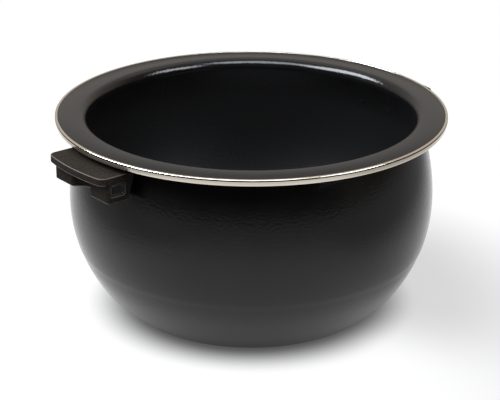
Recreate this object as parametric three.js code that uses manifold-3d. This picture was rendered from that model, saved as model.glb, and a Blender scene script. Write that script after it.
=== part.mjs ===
// Removable cooking bowl of a multicooker, with two clip-on side grips.
// Millimetres, +Z up. The origin is the middle of the bowl's flat base, and the grips lie along X.
// The bowl is a deep round-bellied shell with a wide rim. Each grip is a two-part plastic handle
// that hooks over a steel plate under the rim, and two push buttons in its ends release it.

import * as THREE from "three";
import { mergeVertices } from "three/addons/utils/BufferGeometryUtils.js";
import Module from "manifold-3d";

const wasm = await Module();
wasm.setup();

// Clearances
const fit = 0.3; // between pieces that are fastened together
const slideGap = 0.3; // round a piece that slides
const toothGap = 0.4; // round a button's tooth in its hole
const overrun = 1; // how far a cutting shape runs past what it cuts

// Bowl
const height = 135; // floor to the top of the rim
const wall = 3.2;
const baseRadius = 73.6; // flat of the base
const baseCornerRadius = 21.2;
const lowerRadius = 72.2; // below the belly
const sideRadius = 98.9; // up to the widest place
const shoulderRadius = 138; // from the widest place up to the neck
const baseCornerAngle = 35.3; // slope of the wall, in degrees, where one arc meets the next
const lowerAngle = 57.6;
const sideAngle = 90;
const flangeFilletRadius = 2.3; // under the rim
const flangeWidth = 15.4; // from the neck's bend to the outer edge of the rim

// Bright ring round the edge of the rim
const ringThickness = 1.5;
const ringHeight = 3.9;
const ringBevel = 0.9;
const ringLowerBevel = 0.4;
const ringBeadDepth = 0.8; // bead inside the ring that snaps into the groove of the rim
const ringBeadHeight = 0.8;

// Grip as a whole: drops are measured down from the top of the rim
const gripHalfWidth = 29.3;
const gripTopDrop = 7.6;
const gripBottomDrop = 24.6;
const seatGap = 2.8; // air between the bowl's wall and the back of the grip

// Grip cover
const coverPlateThickness = 4.7;
const coverPlateOverhang = 7.1; // how far the top plate stands out past the front wall
const coverPlateCornerRadius = 5;
const coverPlateBevel = 0.6;
const coverWall = 2.2;
const coverCornerRadius = 2.5;
const coverInnerCornerRadius = 0.4;
const coverSetback = 0.4; // from the face that the anchor plate meets to the cover's back edge
const coverNotchDepth = 2;
const coverBlockLength = 20.3; // from the grip's end to the finger scoop in the front wall
const scoopDepthShare = 0.78; // the scoop's depth as a share of half its width
const windowWidth = 10;
const windowHeight = 7.6;
const windowCornerRadius = 1.5;
const windowTopDrop = 0.7; // from the plate's underside to the window's top

// Grip core
const coreRearWall = 1.2;
const coreFrontWall = 1.6;
const coreBottomRise = 0.4; // how far the core's underside lies above the cover's lower edge
const coreTopDrop = 0.3;
const coreEndSetback = 0.2;

// Release buttons
const buttonTravel = 2.5;
const padSetback = 0.3; // how far the pad lies inside the cover's end face
const padGap = 0.4;
const padDishDepth = 0.7;
const padDishMargin = 1;
const shoulderThickness = 1;
const shoulderWidth = 0.4; // how far the pad's shoulder reaches behind the cover
const hookDepth = 4.8; // from the back of the hook to the back of the arm
const hookThickness = 3;
const armDepth = 4;
const armHeight = 4;
const toothLength = 2;
const toothDepth = 2.6;
const toothHeight = 2.6;

// Button springs
const springLength = 5.7;
const springCoilRadius = 1.5;
const springWireRadius = 0.25;
const springTurns = 4;
const springStepsPerTurn = 8;
const springSides = 5;

// Anchor plate, screwed to two bosses on the bowl's neck
const anchorThickness = 2;
const anchorClearance = 0.73; // from the bowl's wall at the core's underside out to the plate's back
const anchorTabThickness = 1.5;
const anchorTabMargin = 1.1; // metal round the hole in a tab
const anchorBottomRise = 2.2; // above the grip's lower edge
const bossRadius = 4;
const bossInset = 3; // how far a boss runs back into the wall
const anchorScrewMargin = 9; // from the plate's end to a screw
const anchorScrewRadius = 1.5;
const anchorScrewHeadRadius = 2.7;
const anchorScrewHeadHeight = 1.2;
const anchorScrewLength = 6.4;

// Cover screws, from below through the core into the cover's plate
const coverScrewClearance = 0.4; // from the head to the wall round the scoop
const coverScrewRadius = 1.4;
const coverScrewHeadRadius = 2.7;
const coverScrewHeadHeight = 1.7;
const coverScrewSink = 0.4; // how far the head lies inside the core's underside
const coverScrewGrip = 3.1; // length held in the plate

// Drive recess of every screw
const driveRadius = 1.1;
const driveDepth = 0.7;

// Numbers of flat faces round the curved ones
const ringSegments = 60;
const roundSegments = 12;
const scoopSegments = 30;
const arcSteps = 3;
const longArcSteps = 4;
const cornerSteps = 3;
const dishSegments = 12;

const DEGREE = Math.PI / 180;
const materials = {
  coating: new THREE.MeshStandardMaterial({ color: "#17181a", roughness: 0.48, metalness: 0.1 }),
  brightEdge: new THREE.MeshStandardMaterial({ color: "#cfcbc0", roughness: 0.25, metalness: 1 }),
  cover: new THREE.MeshStandardMaterial({ color: "#2b2a2b", roughness: 0.6, metalness: 0 }),
  core: new THREE.MeshStandardMaterial({ color: "#1c1c1d", roughness: 0.65, metalness: 0 }),
  button: new THREE.MeshStandardMaterial({ color: "#242425", roughness: 0.5, metalness: 0 }),
  steel: new THREE.MeshStandardMaterial({ color: "#a9abad", roughness: 0.35, metalness: 1 }),
};

// Turns a closed three.js geometry into a solid that can be joined and cut.
function toSolid(geometry) {
  const bare = new THREE.BufferGeometry();
  bare.setAttribute("position", geometry.getAttribute("position"));
  if (geometry.index) {
    bare.setIndex(geometry.index);
  }
  const merged = mergeVertices(bare);
  const index = merged.index.array;
  const kept = [];
  for (let i = 0; i < index.length; i += 3) {
    const [a, b, c] = [index[i], index[i + 1], index[i + 2]];
    if (a !== b && b !== c && c !== a) {
      kept.push(a, b, c);
    }
  }
  return new wasm.Manifold(new wasm.Mesh({
    numProp: 3,
    vertProperties: new Float32Array(merged.getAttribute("position").array),
    triVerts: new Uint32Array(kept),
  }));
}

function toGeometry(solid) {
  const mesh = solid.getMesh();
  const geometry = new THREE.BufferGeometry();
  geometry.setAttribute("position", new THREE.BufferAttribute(new Float32Array(mesh.vertProperties), 3));
  geometry.setIndex(new THREE.BufferAttribute(new Uint32Array(mesh.triVerts), 1));
  geometry.computeVertexNormals();
  return geometry;
}

function makeMesh(name, geometry, material) {
  const mesh = new THREE.Mesh(geometry, material);
  mesh.name = name;
  return mesh;
}

// A profile of [radius, height] pairs, counterclockwise, turned about the Z axis.
function turned(profile, segments) {
  const points = profile.map(([radius, level]) => new THREE.Vector2(radius, level));
  return new THREE.LatheGeometry(points, segments).rotateX(Math.PI / 2);
}

// A box between two corners.
function block(low, high) {
  const size = high.map((value, axis) => value - low[axis]);
  const middle = high.map((value, axis) => (value + low[axis]) / 2);
  return toSolid(new THREE.BoxGeometry(...size).translate(...middle));
}

// An outline in X and Y, raised from one height to another.
function raised(shape, low, high) {
  const options = { depth: high - low, bevelEnabled: false, curveSegments: cornerSteps };
  return toSolid(new THREE.ExtrudeGeometry(shape, options).translate(0, 0, low));
}

// A closed outline in X and Z, carried along Y from one place to another.
function carried(points, low, high) {
  const shape = new THREE.Shape(points.map(([x, z]) => new THREE.Vector2(x, z)));
  const geometry = new THREE.ExtrudeGeometry(shape, { depth: high - low, bevelEnabled: false });
  return toSolid(geometry.rotateX(Math.PI / 2).translate(0, high, 0));
}

// A rectangle from (x0, y0) to (x1, y1) whose corners at x1 are rounded, and those at x0 too if asked.
function roundedRectangle(x0, y0, x1, y1, radius, allCorners) {
  const shape = new THREE.Shape();
  const back = allCorners ? radius : 0;
  shape.moveTo(x0 + back, y0);
  shape.lineTo(x1 - radius, y0);
  shape.absarc(x1 - radius, y0 + radius, radius, -Math.PI / 2, 0, false);
  shape.lineTo(x1, y1 - radius);
  shape.absarc(x1 - radius, y1 - radius, radius, 0, Math.PI / 2, false);
  shape.lineTo(x0 + back, y1);
  if (allCorners) {
    shape.absarc(x0 + back, y1 - back, back, Math.PI / 2, Math.PI, false);
    shape.lineTo(x0, y0 + back);
    shape.absarc(x0 + back, y0 + back, back, Math.PI, 1.5 * Math.PI, false);
  }
  return shape;
}

// The wall is a row of arcs in the plane of radius and height, each one tangent to the one before.
// An arc's angles are the wall's slope: 0 degrees is a flat floor and 90 degrees an upright wall.
function nextArc(before, radius, to, steps) {
  const slope = before.to * DEGREE;
  const shift = before.radius - radius;
  return {
    centreRadius: before.centreRadius + shift * Math.sin(slope),
    centreHeight: before.centreHeight - shift * Math.cos(slope),
    radius,
    from: before.to,
    to,
    steps,
  };
}

const baseCornerArc = {
  centreRadius: baseRadius,
  centreHeight: baseCornerRadius,
  radius: baseCornerRadius,
  from: 0,
  to: baseCornerAngle,
  steps: arcSteps,
};
const lowerArc = nextArc(baseCornerArc, lowerRadius, lowerAngle, arcSteps);
const sideArc = nextArc(lowerArc, sideRadius, sideAngle, longArcSteps);
const bellyHeight = sideArc.centreHeight;
const filletHeight = height - wall - flangeFilletRadius;
const filletDistance = shoulderRadius + flangeFilletRadius;
const neckAngle = Math.asin((filletHeight - bellyHeight) / filletDistance) / DEGREE;
const shoulderArc = nextArc(sideArc, shoulderRadius, sideAngle + neckAngle, longArcSteps);
const shoulderCentre = shoulderArc.centreRadius;
const filletCentre = shoulderCentre + filletDistance * Math.cos(neckAngle * DEGREE);
const rimRadius = filletCentre + flangeWidth;
const rimUnderside = height - wall;

// The wall from the base to the neck, moved inwards by an offset.
function wallProfile(offset) {
  const points = [[0, offset]];
  for (const arc of [baseCornerArc, lowerArc, sideArc, shoulderArc]) {
    const radius = arc.radius - offset;
    for (let i = arc === baseCornerArc ? 0 : 1; i <= arc.steps; i += 1) {
      const slope = (arc.from + ((arc.to - arc.from) * i) / arc.steps) * DEGREE;
      points.push([
        arc.centreRadius + radius * Math.sin(slope),
        arc.centreHeight - radius * Math.cos(slope),
      ]);
    }
  }
  return points;
}

// The bend from the neck into the rim, about the fillet's centre.
function bendProfile(radius) {
  const points = [];
  for (let i = 0; i <= arcSteps; i += 1) {
    const angle = (180 + neckAngle + ((90 - 180 - neckAngle) * i) / arcSteps) * DEGREE;
    const [x, z] = [radius * Math.cos(angle), radius * Math.sin(angle)];
    points.push([filletCentre + x, filletHeight + z]);
  }
  return points;
}

// Radius of the bowl's outside at a height between the belly and the neck.
function outerRadiusAt(level) {
  const rise = Math.min(level, filletHeight) - bellyHeight;
  return shoulderCentre + Math.sqrt(shoulderRadius ** 2 - rise ** 2);
}

// Places of the grip. Local X points away from the bowl, local Y along the grip, Z up.
const gripTop = height - gripTopDrop;
const gripBottom = height - gripBottomDrop;
const plateUnderside = gripTop - coverPlateThickness;
const coreTop = gripTop - coreTopDrop;
const coreBottom = gripBottom + coreBottomRise;
const windowMiddle = plateUnderside - windowTopDrop - windowHeight / 2;
const holeHeight = toothHeight + 2 * toothGap;
const anchorTop = windowMiddle + holeHeight / 2 + anchorTabMargin;
const anchorBottom = gripBottom + anchorBottomRise;

const anchorBack = outerRadiusAt(coreBottom) + anchorClearance;
const anchorFront = anchorBack + anchorThickness;
const pocketFace = anchorFront + fit;
const coverBack = pocketFace + coverSetback;
const hookBack = pocketFace + coreRearWall + slideGap;
const armBack = hookBack + hookDepth;
const armFront = armBack + armDepth;
const armMiddle = (armBack + armFront) / 2;
const coreFront = armFront + slideGap + coreFrontWall;
const frontInside = coreFront + fit;
const frontFace = frontInside + coverWall;
const plateEdgeRadius = frontFace + coverPlateOverhang;
const scoopHalfWidth = gripHalfWidth - coverBlockLength;
const scoopDepth = scoopHalfWidth * scoopDepthShare;
const scoopRadius = (scoopHalfWidth ** 2 + scoopDepth ** 2) / (2 * scoopDepth);
const scoopCentre = frontFace + scoopRadius - scoopDepth;
const windowFront = frontInside - slideGap;
const windowBack = windowFront - windowWidth;

const endInside = gripHalfWidth - coverWall;
const shoulderOuter = endInside - slideGap;
const shoulderInner = shoulderOuter - shoulderThickness;
const tabOuter = shoulderInner - buttonTravel - slideGap;
const tabInner = tabOuter - anchorTabThickness;
const hookOuter = tabInner - slideGap;
const hookInner = hookOuter - hookThickness;
const hookRoomEnd = hookInner - buttonTravel - slideGap;
const springOuter = hookInner - fit;
const springInner = springOuter - springLength;
const springRoomEnd = springInner - fit;
const coreHalfWidth = hookOuter;
const tabFront = armBack - slideGap;
const toothBack = hookBack + toothGap;
const toothFront = toothBack + toothDepth;
const anchorMiddle = (anchorTop + anchorBottom) / 2;
const anchorScrewPlace = tabOuter - anchorScrewMargin;
const coverScrewPlace = scoopHalfWidth;
const coverScrewReach = scoopRadius + coverWall + coverScrewClearance + coverScrewHeadRadius;
const coverScrewAxis = scoopCentre - Math.sqrt(coverScrewReach ** 2 - coverScrewPlace ** 2);
const coverScrewBottom = coreBottom + coverScrewSink;

// Straight round bar along X, between two places on its axis.
function barAlongX(radius, x0, x1, y, z) {
  const bar = new THREE.CylinderGeometry(radius, radius, x1 - x0, roundSegments);
  return toSolid(bar.rotateZ(-Math.PI / 2).translate((x0 + x1) / 2, y, z));
}

function barAlongZ(radius, z0, z1, x, y, segments) {
  const bar = new THREE.CylinderGeometry(radius, radius, z1 - z0, segments);
  return toSolid(bar.rotateX(Math.PI / 2).translate(x, y, (z0 + z1) / 2));
}

// Two places along the grip, the same distance each side of its middle.
function eachSide(distance) {
  return [-distance, distance];
}

// The lower and the higher end of a stretch that starts and stops at two distances from a middle.
function stretch(side, start, stop) {
  return side > 0 ? [start, stop] : [-stop, -start];
}

// Bowl: outer form with the grips' screw bosses, hollowed by its inner form.
function bowlShell() {
  const edge = rimRadius - ringThickness - fit;
  const grooveBottom = edge - ringBeadDepth;
  const grooveTop = height - ringHeight / 2 + ringBeadHeight / 2 + fit;
  const grooveFloor = grooveTop - ringBeadHeight - 2 * fit;
  const outside = wallProfile(0).concat(bendProfile(flangeFilletRadius).slice(1), [
    [edge, rimUnderside],
    [edge, grooveFloor],
    [grooveBottom, grooveFloor],
    [grooveBottom, grooveTop],
    [edge, grooveTop],
    [edge, height],
    [0, height],
  ]);
  const inside = wallProfile(wall).concat(bendProfile(flangeFilletRadius + wall).slice(1), [
    [filletCentre, height + overrun],
    [0, height + overrun],
  ]);
  let form = toSolid(turned(outside, ringSegments));
  for (const side of [1, -1]) {
    for (const y of eachSide(anchorScrewPlace)) {
      const inner = Math.sqrt(outerRadiusAt(anchorMiddle) ** 2 - y ** 2) - bossInset;
      const outer = anchorBack - fit;
      form = form.add(barAlongX(bossRadius, ...stretch(side, inner, outer), y, anchorMiddle));
    }
  }
  form = form.subtract(toSolid(turned(inside, ringSegments)));
  const holeEnd = anchorFront - anchorScrewLength - fit;
  for (const side of [1, -1]) {
    for (const y of eachSide(anchorScrewPlace)) {
      const ends = stretch(side, holeEnd, anchorBack + overrun);
      form = form.subtract(barAlongX(anchorScrewRadius + fit, ...ends, y, anchorMiddle));
    }
  }
  return toGeometry(form);
}

function rimRing() {
  const inner = rimRadius - ringThickness;
  const low = height - ringHeight;
  const beadMiddle = height - ringHeight / 2;
  return turned([
    [inner, low],
    [rimRadius - ringLowerBevel, low],
    [rimRadius, low + ringLowerBevel],
    [rimRadius, height - ringBevel],
    [rimRadius - ringBevel, height],
    [inner, height],
    [inner, beadMiddle + ringBeadHeight / 2],
    [inner - ringBeadDepth, beadMiddle],
    [inner, beadMiddle - ringBeadHeight / 2],
    [inner, low],
  ], ringSegments);
}

// Outline of the cover's top plate: straight ends, and an outer edge concentric with the bowl.
function coverPlateOutline(inset) {
  const half = gripHalfWidth - inset;
  const edge = plateEdgeRadius - inset;
  const corner = coverPlateCornerRadius - inset;
  const cornerY = half - corner;
  const cornerX = Math.sqrt((edge - corner) ** 2 - cornerY ** 2);
  const cornerAngle = Math.atan2(cornerY, cornerX);
  const shape = new THREE.Shape();
  shape.moveTo(coverBack, -half);
  shape.lineTo(cornerX, -half);
  shape.absarc(cornerX, -cornerY, corner, -Math.PI / 2, -cornerAngle, false);
  shape.absarc(0, 0, edge, -cornerAngle, cornerAngle, false);
  shape.absarc(cornerX, cornerY, corner, cornerAngle, Math.PI / 2, false);
  shape.lineTo(coverBack, half);
  return shape;
}

function coverPlate() {
  const options = {
    depth: coverPlateThickness - 2 * coverPlateBevel,
    bevelThickness: coverPlateBevel,
    bevelSize: coverPlateBevel,
    bevelSegments: 1,
    curveSegments: cornerSteps * 2,
  };
  const geometry = new THREE.ExtrudeGeometry(coverPlateOutline(coverPlateBevel), options);
  const plate = toSolid(geometry.translate(0, 0, plateUnderside + coverPlateBevel));
  const behind = block(
    [coverBack - coverPlateBevel - overrun, -gripHalfWidth - overrun, plateUnderside - overrun],
    [coverBack, gripHalfWidth + overrun, gripTop + overrun],
  );
  return plate.subtract(behind);
}

function windowCutter(side) {
  const low = windowMiddle - windowHeight / 2;
  const high = low + windowHeight;
  const shape = roundedRectangle(windowBack, low, windowFront, high, windowCornerRadius, true);
  const depth = coverWall + 2 * overrun;
  const options = { depth, bevelEnabled: false, curveSegments: cornerSteps };
  const geometry = new THREE.ExtrudeGeometry(shape, options).rotateX(Math.PI / 2);
  const outer = side * (gripHalfWidth - coverWall / 2) + depth / 2;
  return toSolid(geometry.translate(0, outer, 0));
}

function gripCover() {
  const top = plateUnderside + overrun;
  const outline = roundedRectangle(
    coverBack, -gripHalfWidth, frontFace, gripHalfWidth, coverCornerRadius, false,
  );
  const inside = roundedRectangle(
    coverBack - overrun, -endInside, frontInside, endInside, coverInnerCornerRadius, false,
  );
  const skirtForm = raised(outline, gripBottom, top);
  let skirt = skirtForm.subtract(raised(inside, gripBottom - overrun, plateUnderside));
  const scoopOutside = barAlongZ(
    scoopRadius + coverWall, gripBottom, top, scoopCentre, 0, scoopSegments,
  );
  skirt = skirt.add(scoopOutside.intersect(skirtForm));
  const scoop = barAlongZ(
    scoopRadius, gripBottom - overrun, plateUnderside, scoopCentre, 0, scoopSegments,
  );
  let cover = skirt.add(coverPlate()).subtract(scoop);
  for (const side of [1, -1]) {
    cover = cover.subtract(windowCutter(side));
  }
  const notch = block(
    [coverBack - overrun, -coreHalfWidth - fit, gripBottom - overrun],
    [coverBack + coverNotchDepth, coreHalfWidth + fit, gripTop + overrun],
  );
  cover = cover.subtract(notch);
  for (const y of eachSide(coverScrewPlace)) {
    const holeTop = plateUnderside + coverScrewGrip + fit;
    const hole = barAlongZ(
      coverScrewRadius + fit, plateUnderside - overrun, holeTop, coverScrewAxis, y, roundSegments,
    );
    cover = cover.subtract(hole);
  }
  return toGeometry(cover);
}

function gripCore() {
  const backTop = outerRadiusAt(coreTop) + seatGap;
  const backBottom = outerRadiusAt(coreBottom) + seatGap;
  const half = gripHalfWidth - coreEndSetback;
  const wedge = carried([
    [backTop, coreTop],
    [backBottom, coreBottom],
    [coverBack - fit, coreBottom],
    [coverBack - fit, coreTop],
  ], -half, half);
  const spine = block(
    [coverBack - fit - overrun / 2, -coreHalfWidth, coreBottom],
    [coverBack + coverNotchDepth - fit, coreHalfWidth, coreTop],
  );
  const body = block(
    [coverBack - fit - overrun / 2, -coreHalfWidth, coreBottom],
    [coreFront, coreHalfWidth, plateUnderside - fit],
  );
  let core = wedge.add(spine).add(body);
  const plateRoom = block(
    [backTop - overrun, -tabOuter - fit, coreBottom - overrun],
    [pocketFace, tabOuter + fit, anchorTop + fit],
  );
  core = core.subtract(plateRoom);
  const scoopRoom = barAlongZ(
    scoopRadius + coverWall + fit, coreBottom - overrun, coreTop, scoopCentre, 0, scoopSegments,
  );
  core = core.subtract(scoopRoom);
  const halfArm = armHeight / 2 + slideGap;
  for (const side of [1, -1]) {
    const tabEnds = stretch(side, coreHalfWidth, tabOuter + fit);
    const tabRoom = block(
      [backTop - overrun, tabEnds[0], coreBottom - overrun],
      [coverBack + overrun, tabEnds[1], anchorTop + fit],
    );
    core = core.subtract(tabRoom);
    const hookEnds = stretch(side, hookRoomEnd, coreHalfWidth + overrun);
    const hookRoom = block(
      [hookBack - slideGap, hookEnds[0], windowMiddle - halfArm],
      [armFront + slideGap, hookEnds[1], windowMiddle + halfArm],
    );
    const springEnds = stretch(side, springRoomEnd, hookRoomEnd + overrun);
    const springRoom = block(
      [armBack - slideGap, springEnds[0], windowMiddle - halfArm],
      [armFront + slideGap, springEnds[1], windowMiddle + halfArm],
    );
    core = core.subtract(hookRoom).subtract(springRoom);
  }
  for (const y of eachSide(coverScrewPlace)) {
    const shaftRoom = barAlongZ(
      coverScrewRadius + fit, coreBottom - overrun, coreTop + overrun, coverScrewAxis, y, roundSegments,
    );
    const headRoomTop = coverScrewBottom + coverScrewHeadHeight + fit;
    const headRoom = barAlongZ(
      coverScrewHeadRadius + fit, coreBottom - overrun, headRoomTop, coverScrewAxis, y, roundSegments,
    );
    core = core.subtract(shaftRoom).subtract(headRoom);
  }
  return toGeometry(core);
}

function anchorPlate() {
  let plate = block([anchorBack, -tabOuter, anchorBottom], [anchorFront, tabOuter, anchorTop]);
  const tabBottom = windowMiddle - holeHeight / 2 - anchorTabMargin;
  for (const side of [1, -1]) {
    const ends = stretch(side, tabInner, tabOuter);
    const tab = block(
      [anchorFront - anchorThickness / 2, ends[0], tabBottom],
      [tabFront, ends[1], anchorTop],
    );
    const hole = block(
      [toothBack - toothGap, ends[0] - overrun, windowMiddle - holeHeight / 2],
      [toothFront + toothGap, ends[1] + overrun, windowMiddle + holeHeight / 2],
    );
    plate = plate.add(tab).subtract(hole);
  }
  for (const y of eachSide(anchorScrewPlace)) {
    const shaftRoom = barAlongX(
      anchorScrewRadius + fit, anchorBack - overrun, anchorFront + overrun, y, anchorMiddle,
    );
    plate = plate.subtract(shaftRoom).subtract(countersink(y));
  }
  return toGeometry(plate);
}

// Countersunk form along X: a head that narrows into its shaft, with an even gap round it.
function headProfile(gap) {
  return [
    [0, anchorFront - anchorScrewHeadHeight - gap],
    [anchorScrewRadius + gap, anchorFront - anchorScrewHeadHeight - gap],
    [anchorScrewHeadRadius + gap, anchorFront],
  ];
}

function alongX(geometry, y) {
  return geometry.rotateY(Math.PI / 2).translate(0, y, anchorMiddle);
}

function countersink(y) {
  const profile = headProfile(fit).concat([
    [anchorScrewHeadRadius + fit, anchorFront + overrun],
    [0, anchorFront + overrun],
  ]);
  return toSolid(alongX(turned(profile, roundSegments), y));
}

function anchorScrew(y) {
  const profile = [
    [0, anchorFront - anchorScrewLength],
    [anchorScrewRadius, anchorFront - anchorScrewLength],
    ...headProfile(0).slice(1),
    [driveRadius, anchorFront],
    [driveRadius, anchorFront - driveDepth],
    [0, anchorFront - driveDepth],
  ];
  return toGeometry(toSolid(alongX(turned(profile, roundSegments), y)));
}

function coverScrew() {
  const neck = coverScrewBottom + coverScrewHeadHeight;
  const profile = [
    [0, coverScrewBottom + driveDepth],
    [driveRadius, coverScrewBottom + driveDepth],
    [driveRadius, coverScrewBottom],
    [coverScrewHeadRadius, coverScrewBottom],
    [coverScrewHeadRadius, neck],
    [coverScrewRadius, neck],
    [coverScrewRadius, plateUnderside + coverScrewGrip],
    [0, plateUnderside + coverScrewGrip],
  ];
  return toGeometry(toSolid(turned(profile, roundSegments)));
}

// A button at the grip's +Y end, with its own Z origin at the window's middle.
function releaseButton() {
  const padHalf = windowHeight / 2 - padGap;
  const padOuter = gripHalfWidth - padSetback;
  const padBack = windowBack + padGap;
  const padFront = windowFront - padGap;
  const padCorner = windowCornerRadius - padGap;
  const padShape = roundedRectangle(padBack, -padHalf, padFront, padHalf, padCorner, true);
  const padDepth = padOuter - shoulderInner;
  const padOptions = { depth: padDepth, bevelEnabled: false, curveSegments: cornerSteps };
  const pad = new THREE.ExtrudeGeometry(padShape, padOptions);
  pad.rotateX(Math.PI / 2).translate(0, padOuter, 0);
  const shoulder = block(
    [padBack - padGap - shoulderWidth, shoulderInner, -padHalf],
    [padFront + shoulderWidth, shoulderOuter, padHalf],
  );
  const arm = block(
    [armBack, hookInner, -armHeight / 2],
    [armFront, shoulderInner + shoulderThickness / 2, armHeight / 2],
  );
  const hook = block([hookBack, hookInner, -armHeight / 2], [armFront, hookOuter, armHeight / 2]);
  const tooth = block(
    [toothBack, hookOuter - overrun, -toothHeight / 2],
    [toothFront, hookOuter + toothLength, toothHeight / 2],
  );
  const dishHalf = padHalf - padDishMargin;
  const dishRadius = (dishHalf ** 2 + padDishDepth ** 2) / (2 * padDishDepth);
  const dish = new THREE.SphereGeometry(dishRadius, dishSegments, dishSegments / 2);
  const dishStretchShare = (padFront - padBack - 2 * padDishMargin) / (2 * dishHalf);
  dish.scale(dishStretchShare, 1, 1);
  dish.translate((padBack + padFront) / 2, padOuter + dishRadius - padDishDepth, 0);
  const button = toSolid(pad).add(shoulder).add(arm).add(hook).add(tooth).subtract(toSolid(dish));
  return toGeometry(button);
}

// Centre line of a button's spring, which lies along Y.
class SpringLine extends THREE.Curve {
  getPoint(share) {
    const angle = share * springTurns * 2 * Math.PI;
    const length = springLength - 2 * springWireRadius;
    return new THREE.Vector3(
      armMiddle + springCoilRadius * Math.cos(angle),
      springInner + springWireRadius + length * share,
      springCoilRadius * Math.sin(angle),
    );
  }
}

function buttonSpring() {
  const section = new THREE.Shape();
  for (let i = 0; i < springSides; i += 1) {
    const angle = (i / springSides) * 2 * Math.PI;
    const [x, y] = [springWireRadius * Math.cos(angle), springWireRadius * Math.sin(angle)];
    if (i === 0) {
      section.moveTo(x, y);
    } else {
      section.lineTo(x, y);
    }
  }
  const steps = springTurns * springStepsPerTurn;
  const options = { steps, extrudePath: new SpringLine(), bevelEnabled: false };
  return toGeometry(toSolid(new THREE.ExtrudeGeometry(section, options)));
}

// Least gap between neighbouring turns of the spring, measured on points of its centre line.
function springSelfGap() {
  const line = new SpringLine();
  const steps = springTurns * springStepsPerTurn;
  let least = Infinity;
  for (let i = 0; i <= steps; i += 1) {
    for (let j = i + springStepsPerTurn / 2; j <= steps; j += 1) {
      least = Math.min(least, line.getPoint(i / steps).distanceTo(line.getPoint(j / steps)));
    }
  }
  return least - 2 * springWireRadius;
}

// One grip. Its group is turned about Z, so local +Y is one end of it and local -Y the other.
function grip(name, turn, ends) {
  const group = new THREE.Group();
  group.rotation.z = turn;
  group.add(makeMesh(`${name}_anchor_plate`, anchorPlate(), materials.steel));
  group.add(makeMesh(`${name}_grip_core`, gripCore(), materials.core));
  group.add(makeMesh(`${name}_grip_cover`, gripCover(), materials.cover));
  ends.forEach((end, i) => {
    const side = i === 0 ? 1 : -1;
    const anchorScrewMesh = anchorScrew(side * anchorScrewPlace);
    group.add(makeMesh(`${name}_anchor_screw_${end}`, anchorScrewMesh, materials.steel));
    const screw = makeMesh(`${name}_cover_screw_${end}`, coverScrew(), materials.steel);
    screw.position.set(coverScrewAxis, side * coverScrewPlace, 0);
    group.add(screw);
    const seat = new THREE.Group();
    seat.position.z = windowMiddle;
    seat.rotation.x = i === 0 ? 0 : Math.PI;
    seat.add(makeMesh(`${name}_release_button_${end}`, releaseButton(), materials.button));
    seat.add(makeMesh(`${name}_button_spring_${end}`, buttonSpring(), materials.steel));
    group.add(seat);
  });
  return group;
}

const bowl = new THREE.Group();
bowl.add(makeMesh("bowl_shell", bowlShell(), materials.coating));
bowl.add(makeMesh("rim_ring", rimRing(), materials.brightEdge));
bowl.add(grip("left", Math.PI, ["front", "back"]));
bowl.add(grip("right", 0, ["back", "front"]));

console.log(`Rim radius ${rimRadius.toFixed(2)} mm, grip edge radius ${plateEdgeRadius.toFixed(2)} mm`);
console.log(`Least gap between turns of a button spring: ${springSelfGap().toFixed(2)} mm`);

export default bowl;
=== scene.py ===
# %% [markdown]
# This lesson dresses a multicooker's removable cooking bowl: a deep cast shell with a black
# non-stick coating, a bright ring round its rim, and two plastic grips that clip on under the rim.
# The solids come from a CAD model that is already in place. Each cell below makes one piece or one
# finish round them, so the model and the picture share one frame, in metres.

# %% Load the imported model
from math import acos, asin, atan2, cos, degrees, hypot, pi, radians, sin, sqrt

import bmesh
import bpy
from mathutils import Matrix, Vector


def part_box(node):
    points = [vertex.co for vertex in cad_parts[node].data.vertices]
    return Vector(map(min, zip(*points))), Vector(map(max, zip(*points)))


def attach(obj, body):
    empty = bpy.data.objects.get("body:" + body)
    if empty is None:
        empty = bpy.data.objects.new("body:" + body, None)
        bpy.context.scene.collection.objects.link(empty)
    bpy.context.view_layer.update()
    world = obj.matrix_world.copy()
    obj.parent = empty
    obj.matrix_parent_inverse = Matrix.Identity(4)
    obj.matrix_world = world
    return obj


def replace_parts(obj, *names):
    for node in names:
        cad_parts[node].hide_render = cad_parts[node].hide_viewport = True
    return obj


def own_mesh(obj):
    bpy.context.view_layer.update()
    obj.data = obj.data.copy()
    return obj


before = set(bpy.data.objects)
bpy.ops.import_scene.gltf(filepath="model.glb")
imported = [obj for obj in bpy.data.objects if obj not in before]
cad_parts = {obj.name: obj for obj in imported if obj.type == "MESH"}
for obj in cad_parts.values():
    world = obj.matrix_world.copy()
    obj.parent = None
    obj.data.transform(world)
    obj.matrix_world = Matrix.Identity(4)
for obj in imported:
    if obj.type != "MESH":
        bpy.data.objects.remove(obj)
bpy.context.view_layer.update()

# %% [markdown]
# Sizes are given in millimetres, as a maker thinks, and colours as sRGB hex values, as they are read
# from a picture. Blender wants metres and linear light, so two small helpers convert them. A third
# one adds a shader or geometry node with its settings and links.

# %% Units, colours and nodes
MM = 0.001


def linear(hex_colour):
    """An sRGB hex colour as linear red, green, blue and alpha, by the standard's own curve."""
    channels = [int(hex_colour[i:i + 2], 16) / 255 for i in (1, 3, 5)]
    bent = [c / 12.92 if c <= 0.04045 else ((c + 0.055) / 1.055) ** 2.4 for c in channels]
    return (*bent, 1.0)


def link(tree, source, socket):
    """Links a socket, or a node's first one, into another."""
    tree.links.new(getattr(source, "outputs", [source])[0], socket)


def add_node(tree, kind, values=None, links=None, **settings):
    """Adds a node, gives it settings and socket values, and links others into it."""
    node = tree.nodes.new(kind)
    for name, value in settings.items():
        setattr(node, name, value)
    for socket, value in (values or {}).items():
        node.inputs[socket].default_value = value
    for socket, source in (links or {}).items():
        link(tree, source, node.inputs[socket])
    return node


print("Middle grey #777777 is", round(linear("#777777")[0], 3), "in linear light")

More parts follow.
